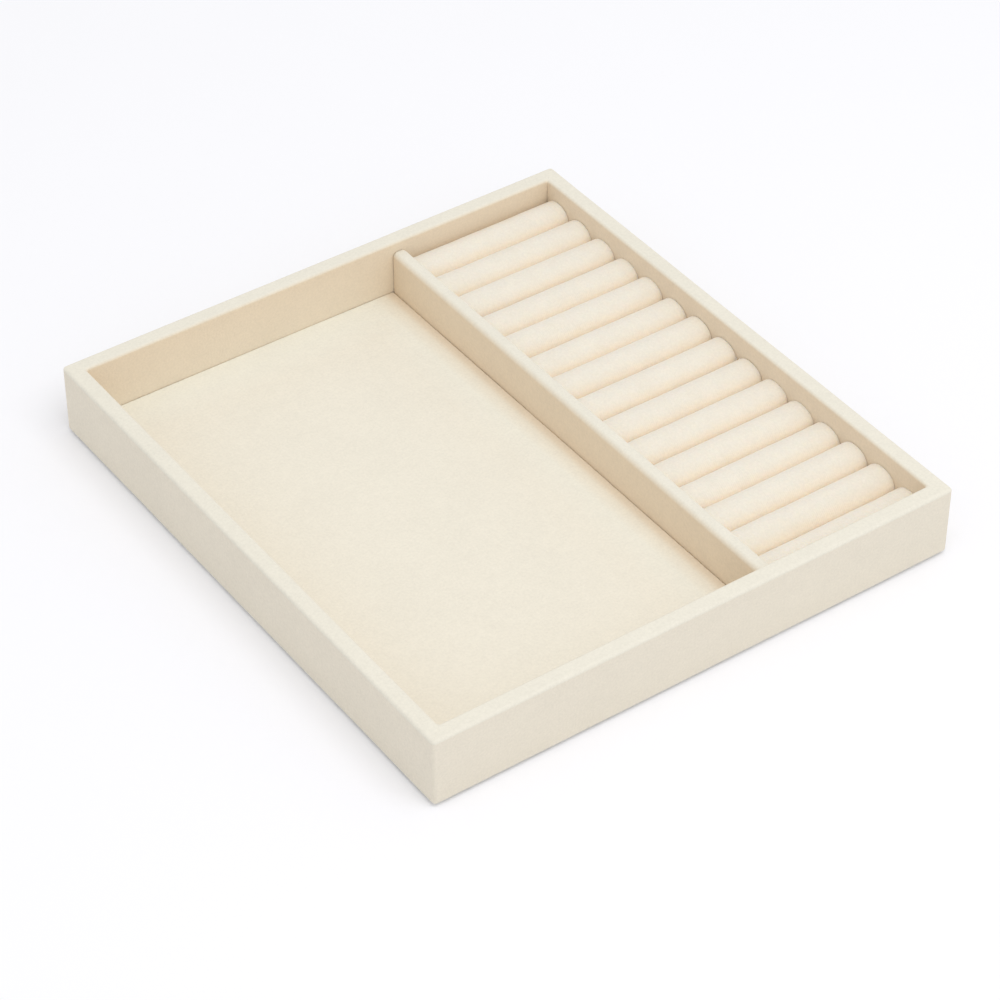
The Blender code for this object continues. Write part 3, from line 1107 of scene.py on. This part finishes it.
@dataclass
class RingBank:
    """Foam board and fifteen foam rods in velvet sleeves, side by side."""

    count: int = 15
    left: float = 0.0459
    right: float = 0.1314
    half_depth: float = 0.1442
    spacing: float = 0.0003
    board_bottom: float = 0.0063
    board_top: float = 0.0101
    board_radius: float = 0.0006
    seat: float = 0.0104
    sleeve: float = 0.0007
    foam_gap: float = 0.0005
    squareness: float = 2.3
    left_shoulder: float = 0.0018
    right_shoulder: float = 0.0018
    crest_drop: float = 0.0003
    side_drop: float = 0.0002
    lumps: float = 0.0004
    rod_steps: int = 24
    squeeze: float = 0.00015
    press: float = 0.00015
    swell: float = 0.0012
    pressure: float = 300.0
    sim_steps: int = 20
    opening: float = 0.0018
    # Painted warm bounce light in the grooves: it begins this share of the way down from the crest
    # and is full at the second share.
    bounce_start_share: float = 0.12
    bounce_full_share: float = 0.56
    # The rolls that the photograph shows above or below an even row, by number from
    # the back, to the nearest half millimetre.
    crests: dict[int, float] = field(
        default_factory=lambda: {
            1: 0.0005, 4: -0.0005, 6: -0.0010, 8: -0.0005, 9: -0.0010, 10: -0.0010,
            11: -0.0015, 12: -0.0015, 15: -0.0010,
        }
    )

    def half_width(self) -> float:
        """Half the width that the walls leave for one roll."""
        return (2 * self.half_depth - (self.count + 1) * self.spacing) / self.count / 2

    def half_height(self, number: int) -> float:
        """Half the height of the roll with this number."""
        return self.half_width() + self.crests.get(number, 0.0) / 2

    def centre_of(self, number: int) -> Triple:
        """The middle of a roll.

        Args:
            number: the roll's number, from the back.

        Returns:
            Its place.
        """
        half = self.half_width()
        pitch = 2 * half + self.spacing
        y = self.half_depth - self.spacing - half - (number - 1) * pitch
        return ((self.left + self.right) / 2, y, self.seat + self.half_height(number))

    def sizes(self, number: int, inset: float) -> dict[str, object]:
        """A roll's sizes for the tree.

        Args:
            number: the roll's number, from the back.
            inset: how much smaller it is all round.

        Returns:
            Values by the names of the tree's inputs.
        """
        half = self.half_width() - inset
        return {
            "Length": self.right - self.left - 2 * inset,
            "Half Width": half,
            "Height Share": (self.half_height(number) - inset) / half,
            "Squareness": self.squareness,
            "Left Shoulder": self.left_shoulder,
            "Right Shoulder": self.right_shoulder,
            "Crest Drop": self.crest_drop,
            "Side Drop": self.side_drop,
            "Seed": float(number),
            "Centre": self.centre_of(number),
        }

    def inflate(self, sleeves: list[Piece]) -> None:
        """Let the foam press the sleeves out, as a cloth simulation under pressure.

        Args:
            sleeves: the sleeves, slightly too small, as closed surfaces.
        """
        for number, sleeve in enumerate(sleeves, 1):
            rest = points_of(sleeve)
            x, _, _ = self.centre_of(number)
            glued = sleeve.vertex_groups.new(name="glued")
            at_end = np.abs(rest[:, 0] - x) > (self.right - self.left) / 2
            below = rest[:, 2] < self.seat + self.opening
            glued.add(np.flatnonzero(at_end | below).tolist(), 1.0, "REPLACE")
            cloth = sleeve.modifiers.new("cloth", "CLOTH").settings
            for key, value in JERSEY.items():
                setattr(cloth, key, value)
            cloth.uniform_pressure_force = self.pressure
            cloth.effector_weights.gravity = 0.0
        for step in range(1, self.sim_steps + 1):
            bpy.context.scene.frame_set(step)
        depsgraph = bpy.context.evaluated_depsgraph_get()
        for sleeve in sleeves:
            rest = points_of(sleeve)
            way = points_of(sleeve.evaluated_get(depsgraph)) - rest
            far = np.linalg.norm(way, axis=1, keepdims=True)
            LOG.info("%s swelled %.2f mm at most", sleeve.name, far.max() * 1000)
            sleeve.modifiers.clear()
            sleeve.vertex_groups.clear()
            move_points(sleeve, rest + way * np.minimum(1.0, self.swell / np.maximum(far, TINY)))
        bpy.context.scene.frame_set(1)

    def settle(self, sleeve: Piece, number: int) -> None:
        """Keep a sleeve between its neighbours, the walls and the board below.

        Args:
            sleeve: the sleeve.
            number: its number, from the back.
        """
        points = points_of(sleeve)
        _, y, _ = self.centre_of(number)
        half = self.half_width() + self.spacing / 3
        points[:, 0] = np.clip(points[:, 0], self.left - self.press, self.right + self.press)
        points[:, 1] = np.clip(points[:, 1], y - half, y + half)
        points[:, 2] = np.maximum(points[:, 2], self.seat)
        move_points(sleeve, points)

    def finish_sleeve(self, sleeve: Piece, number: int) -> None:
        """Open a sleeve along its glued edges below and give it its thickness.

        Args:
            sleeve: the sleeve, as a closed surface.
            number: its number, from the back.
        """
        finer = sleeve.modifiers.new("finer", "SUBSURF")
        finer.levels = finer.render_levels = 1
        plain_mesh(sleeve)
        self.settle(sleeve, number)
        _, y, z = self.centre_of(number)
        heights = points_of(sleeve)[:, 2]
        # Painted warm bounce light: the velvet's redder, brighter colour is mixed in from part way
        # down the crest towards the grooves, where shade falls.
        fallen = (heights.max() - heights) / (heights.max() - z)
        band = self.bounce_full_share - self.bounce_start_share
        paint(sleeve, PAINTED_BOUNCE, smooth_share((fallen - self.bounce_start_share) / band))
        form = bmesh.new()
        form.from_mesh(sleeve.data)
        low = [
            face for face in form.faces
            if abs(face.calc_center_median().y - y) < self.opening / 2
            and face.calc_center_median().z < z
        ]
        bmesh.ops.delete(form, geom=low, context="FACES")
        form.to_mesh(sleeve.data)
        form.free()
        give_thickness(sleeve, self.sleeve, even=False)
        # The thickness grows past the folded caps, so the sleeve is settled again.
        self.settle(sleeve, number)
        sleeve.data.shade_smooth()

    def build(self) -> None:
        """Build the foam board, the rods and their sleeves."""
        foam, velvet = CUT_FOAM.material(), KnittedVelvet("knitted_velvet_cream").material()
        edge = self.half_depth - self.spacing
        low, high = (self.left, -edge, self.board_bottom), (self.right, edge, self.board_top)
        board = CoveredSlab(low, high, self.board_radius).build(
            "ring_bank_foam_board", foam, with_underside=True
        )
        hand_over(board, Slot.FOAM, "ring_bank_board")
        form = RollForm()
        steps = {"Around": self.rod_steps, "Along": self.rod_steps}
        longer = {"Length": self.right - self.left + 2 * self.press}
        sleeves = []
        for number in range(1, self.count + 1):
            inner = self.sizes(number, self.sleeve + self.foam_gap) | steps
            outer = self.sizes(number, self.squeeze) | longer
            rod = form.make(
                f"ring_foam_rod_{number:02d}", inner | {"Lumps": 0.0, "Material": foam}
            )
            hand_over(rod, Slot.FOAM, f"ring_roll_foam_{number:02d}")
            sleeves.append(form.make(
                f"ring_velvet_sleeve_{number:02d}",
                outer | {"Lumps": self.lumps, "Material": velvet},
            ))
        self.inflate(sleeves)
        for number, sleeve in enumerate(sleeves, 1):
            self.finish_sleeve(sleeve, number)
            hand_over(sleeve, Slot.VELVET, f"ring_roll_sleeve_{number:02d}")


# The studio


@dataclass
class Studio:
    """White table, soft light from above and in front, and the camera."""

    target: Triple = (-0.003329, -0.006261, 0.0)
    azimuth: float = -35.22104
    elevation: float = 40.35823
    distance: float = 1.584178
    lens: float = 124.1008
    sensor: float = 36.0
    nearest: float = 0.05
    farthest: float = 50.0
    table: float = 6.0
    table_drop: float = 0.0001
    table_lift: float = 0.09
    sky: float = 0.80
    sky_lean: float = 0.04
    key_watts: float = 9.5
    key_size: float = 1.2
    key_place: Triple = (0.02, -0.80, 1.65)

    def back(self) -> Vector:
        """The way from the target to the camera."""
        turn, rise = math.radians(self.azimuth), math.radians(self.elevation)
        return Vector((math.sin(turn), -math.cos(turn), math.tan(rise))) * math.cos(rise)

    def aim(self, thing: Piece, place: Vector, way: Vector) -> None:
        """Stand a camera or a lamp at a place, looking along a way.

        Args:
            thing: the camera or the lamp.
            place: where it stands.
            way: the direction that it looks in.
        """
        thing.location = place
        thing.rotation_mode = "QUATERNION"
        thing.rotation_quaternion = way.to_track_quat("-Z", "Y")

    def add_camera(self) -> None:
        """Stand the camera where the photograph was taken from."""
        camera = place_object("camera", bpy.data.cameras.new("camera"))
        camera.data.lens = self.lens
        camera.data.sensor_width = self.sensor
        camera.data.clip_start, camera.data.clip_end = self.nearest, self.farthest
        self.aim(camera, Vector(self.target) + self.back() * self.distance, -self.back())
        bpy.context.scene.camera = camera

    def seen_directly(self, tree: Tree) -> Socket:
        """A socket that is 1 for what is seen, directly or in gloss or glass.

        Args:
            tree: the material's or world's node tree.

        Returns:
            The socket.
        """
        path = add_node(tree, "ShaderNodeLightPath").outputs
        seen = path["Is Camera Ray"]
        for ray in ("Is Glossy Ray", "Is Transmission Ray"):
            either = {"operation": "MAXIMUM", 0: seen, 1: path[ray]}
            seen = add_node(tree, "ShaderNodeMath", either).outputs[0]
        return seen

    def add_table(self) -> None:
        """White paper sweep: lit near the object, and lifted to white where seen."""
        material, tree = blank_material("white_paper")
        fibre = grain_pattern(tree, (Grain(0.05, 0.5), Grain(0.004, 0.5)))
        rough = MIDDLE | {"Value": fibre, "To Min": 0.4, "To Max": 0.6}
        rough = add_node(tree, "ShaderNodeMapRange", rough).outputs[0]
        paper = {"Color": linear("#F1F1F4"), "Roughness": rough}
        paper = add_node(tree, "ShaderNodeBsdfDiffuse", paper).outputs[0]
        lift = {"operation": "MULTIPLY", 0: self.seen_directly(tree), 1: self.table_lift}
        lift = add_node(tree, "ShaderNodeMath", lift).outputs[0]
        glow = add_node(tree, "ShaderNodeEmission", {"Strength": lift}).outputs[0]
        both = add_node(tree, "ShaderNodeAddShader", {0: paper, 1: glow}).outputs[0]
        add_node(tree, "ShaderNodeOutputMaterial", {0: both})
        half = self.table / 2
        corners = np.array([
            (x * half, y * half, -self.table_drop)
            for x, y in ((-1, -1), (1, -1), (1, 1), (-1, 1))
        ])
        new_piece("table", corners, [(0, 1, 2, 3)], material)

    def add_sky(self) -> None:
        """Even white light all round, which the camera sees as plain white."""
        world = bpy.data.worlds.new("studio")
        bpy.context.scene.world = world
        world.use_nodes = True
        tree = world.node_tree
        tree.nodes.clear()
        toward = add_node(tree, "ShaderNodeTexCoord").outputs["Generated"]
        # The studio is brighter on the camera's side than behind the tray.
        toward = add_node(tree, "ShaderNodeSeparateXYZ", {0: toward}).outputs["Y"]
        glow = {"operation": "MULTIPLY_ADD", 0: toward, 1: -self.sky * self.sky_lean, 2: self.sky}
        glow = add_node(tree, "ShaderNodeMath", glow).outputs[0]
        strength = {"Value": self.seen_directly(tree), "To Min": glow, "To Max": 1.0}
        strength = add_node(tree, "ShaderNodeMapRange", strength).outputs[0]
        white = {"Color": linear("#FFFFFF"), "Strength": strength}
        light = add_node(tree, "ShaderNodeBackground", white).outputs[0]
        add_node(tree, "ShaderNodeOutputWorld", {0: light})

    def add_key(self) -> None:
        """Large soft box above the tray and in front of it."""
        lamp = bpy.data.lights.new("soft_box", "AREA")
        lamp.shape = "SQUARE"
        lamp.size = self.key_size
        lamp.energy = self.key_watts
        place = Vector(self.key_place)
        self.aim(place_object("soft_box", lamp), place, -place)

    def build(self) -> None:
        """Set up the table, the light and the camera."""
        bpy.context.scene.view_settings.view_transform = "Standard"
        self.add_camera()
        self.add_table()
        self.add_sky()
        self.add_key()


def main() -> None:
    """Build the studio and the tray."""
    Studio().build()
    suede = Microsuede("cream_microsuede").material()
    Shell().build(suede)
    MainFloor().build()
    Divider().build(suede)
    RingBank().build()


if __name__ == "__main__":
    main()
